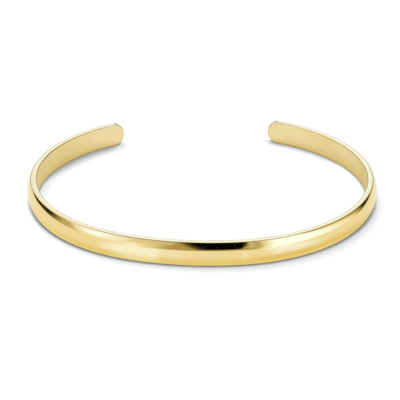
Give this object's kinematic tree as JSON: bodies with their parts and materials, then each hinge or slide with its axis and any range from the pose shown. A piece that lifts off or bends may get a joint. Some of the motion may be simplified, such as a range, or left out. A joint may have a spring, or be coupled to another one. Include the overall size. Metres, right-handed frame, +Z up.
{
  "type": "cuff bangle",
  "caption": "Open cuff bangle on its side: a slim bar, flat inside and domed outside, bent into an oval that stays open at the back between two rounded ends.",
  "frame": {"origin": "centre of the outline's box, at the level of the surface that the cuff lies on", "axes": "+X across the opening to the viewer's right, +Y from the front of the bar to the gap at the back, +Z up through the hollow"},
  "size_m": [0.0614, 0.0532, 0.0042],
  "materials": {
    "gold": "polished, with a satin inner wall"
  },
  "bodies": {
    "root": {"cuff_band": "gold"}
  },
  "joints": []
}
